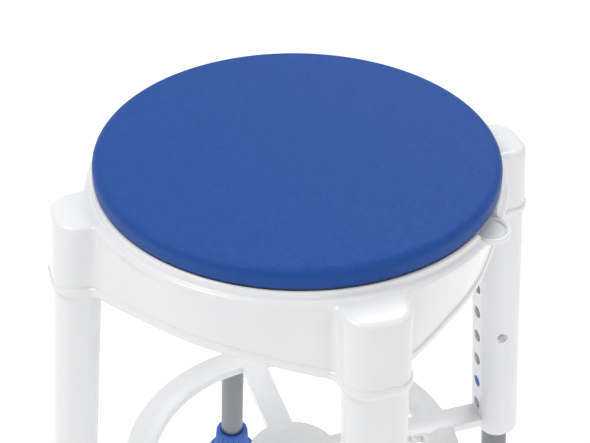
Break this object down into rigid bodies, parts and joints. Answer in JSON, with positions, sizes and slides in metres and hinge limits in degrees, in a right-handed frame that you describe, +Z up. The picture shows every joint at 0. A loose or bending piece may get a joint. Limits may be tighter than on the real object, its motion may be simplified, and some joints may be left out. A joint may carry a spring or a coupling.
{
  "type": "shower stool",
  "caption": "Round padded shower stool: swivelling seat with a locking release lever on a moulded frame, height-adjustable sprung-button legs and a ring brace.",
  "frame": {"origin": "on the floor, below the middle of the seat's swivel axis", "axes": "+Z up along the swivel axis, -Y to the front, +X to the side with the release lever; the four legs stand on the diagonals"},
  "size_m": [0.3876, 0.3876, 0.5732],
  "materials": {
    "pad_skin": "soft blue integral skin with a fine grain",
    "pad_board": "plain plywood, hidden",
    "white_moulding": "white satin injection moulding",
    "nylon": "natural white nylon",
    "aluminium_tube": "satin anodised",
    "steel": "zinc plated",
    "spring_steel": "dark spring steel",
    "blue_plastic": "blue moulded plastic",
    "blue_rubber": "matt blue rubber"
  },
  "bodies": {
    "frame": {"seat_frame": "white_moulding", "glide_ring": "nylon", "thrust_washer": "nylon", "lever_pin": "steel", "lever_spring": "spring_steel", "frame_screws": "steel", "leg_side_screws": "steel", "brace": "white_moulding", "leg_front_left": "white_moulding", "leg_front_right": "white_moulding", "leg_back_right": "white_moulding", "leg_back_left": "white_moulding"},
    "seat": {"seat_pad": "pad_skin", "pad_board": "pad_board", "pad_screws": "steel", "turntable": "white_moulding", "pivot_bolt": "steel", "steel_washer": "steel", "pivot_nut": "steel"},
    "release_lever": {"release_lever": "white_moulding"},
    "tube_front_left": {"tube_front_left": "aluminium_tube", "foot_front_left": "blue_rubber", "button_spring_front_left": "spring_steel"},
    "button_front_left": {"button_front_left": "blue_plastic"},
    "tube_front_right": {"tube_front_right": "aluminium_tube", "foot_front_right": "blue_rubber", "button_spring_front_right": "spring_steel"},
    "button_front_right": {"button_front_right": "blue_plastic"},
    "tube_back_right": {"tube_back_right": "aluminium_tube", "foot_back_right": "blue_rubber", "button_spring_back_right": "spring_steel"},
    "button_back_right": {"button_back_right": "blue_plastic"},
    "tube_back_left": {"tube_back_left": "aluminium_tube", "foot_back_left": "blue_rubber", "button_spring_back_left": "spring_steel"},
    "button_back_left": {"button_back_left": "blue_plastic"}
  },
  "joints": [
    {"name": "seat_swivel", "type": "hinge", "parent": "frame", "child": "seat", "pos_m": [0, 0, 0.548], "axis": [0, 0, 1], "continuous": true},
    {"name": "lever_lift", "type": "hinge", "parent": "frame", "child": "release_lever", "pos_m": [0.148, 0, 0.5455], "axis": [0, -1, 0], "range_deg": [0, 9], "stiffness_Nm_per_rad": 0.8, "springref_deg": -8.59, "deforming": ["lever_spring"]},
    {"name": "tube_slide_front_left", "type": "slide", "parent": "frame", "child": "tube_front_left", "axis": [0.069, 0.069, 0.9952], "range_m": [-0.03, 0.15]},
    {"name": "button_press_front_left", "type": "slide", "parent": "tube_front_left", "child": "button_front_left", "axis": [-0.7037, -0.7037, 0.0976], "range_m": [0, 0.0074], "stiffness_N_per_m": 800, "springref_m": -0.004, "deforming": ["button_spring_front_left"]},
    {"name": "tube_slide_front_right", "type": "slide", "parent": "frame", "child": "tube_front_right", "axis": [-0.069, 0.069, 0.9952], "range_m": [-0.03, 0.15]},
    {"name": "button_press_front_right", "type": "slide", "parent": "tube_front_right", "child": "button_front_right", "axis": [0.7037, -0.7037, 0.0976], "range_m": [0, 0.0074], "stiffness_N_per_m": 800, "springref_m": -0.004, "deforming": ["button_spring_front_right"]},
    {"name": "tube_slide_back_right", "type": "slide", "parent": "frame", "child": "tube_back_right", "axis": [-0.069, -0.069, 0.9952], "range_m": [-0.03, 0.15]},
    {"name": "button_press_back_right", "type": "slide", "parent": "tube_back_right", "child": "button_back_right", "axis": [0.7037, 0.7037, 0.0976], "range_m": [0, 0.0074], "stiffness_N_per_m": 800, "springref_m": -0.004, "deforming": ["button_spring_back_right"]},
    {"name": "tube_slide_back_left", "type": "slide", "parent": "frame", "child": "tube_back_left", "axis": [0.069, -0.069, 0.9952], "range_m": [-0.03, 0.15]},
    {"name": "button_press_back_left", "type": "slide", "parent": "tube_back_left", "child": "button_back_left", "axis": [-0.7037, 0.7037, 0.0976], "range_m": [0, 0.0074], "stiffness_N_per_m": 800, "springref_m": -0.004, "deforming": ["button_spring_back_left"]}
  ]
}
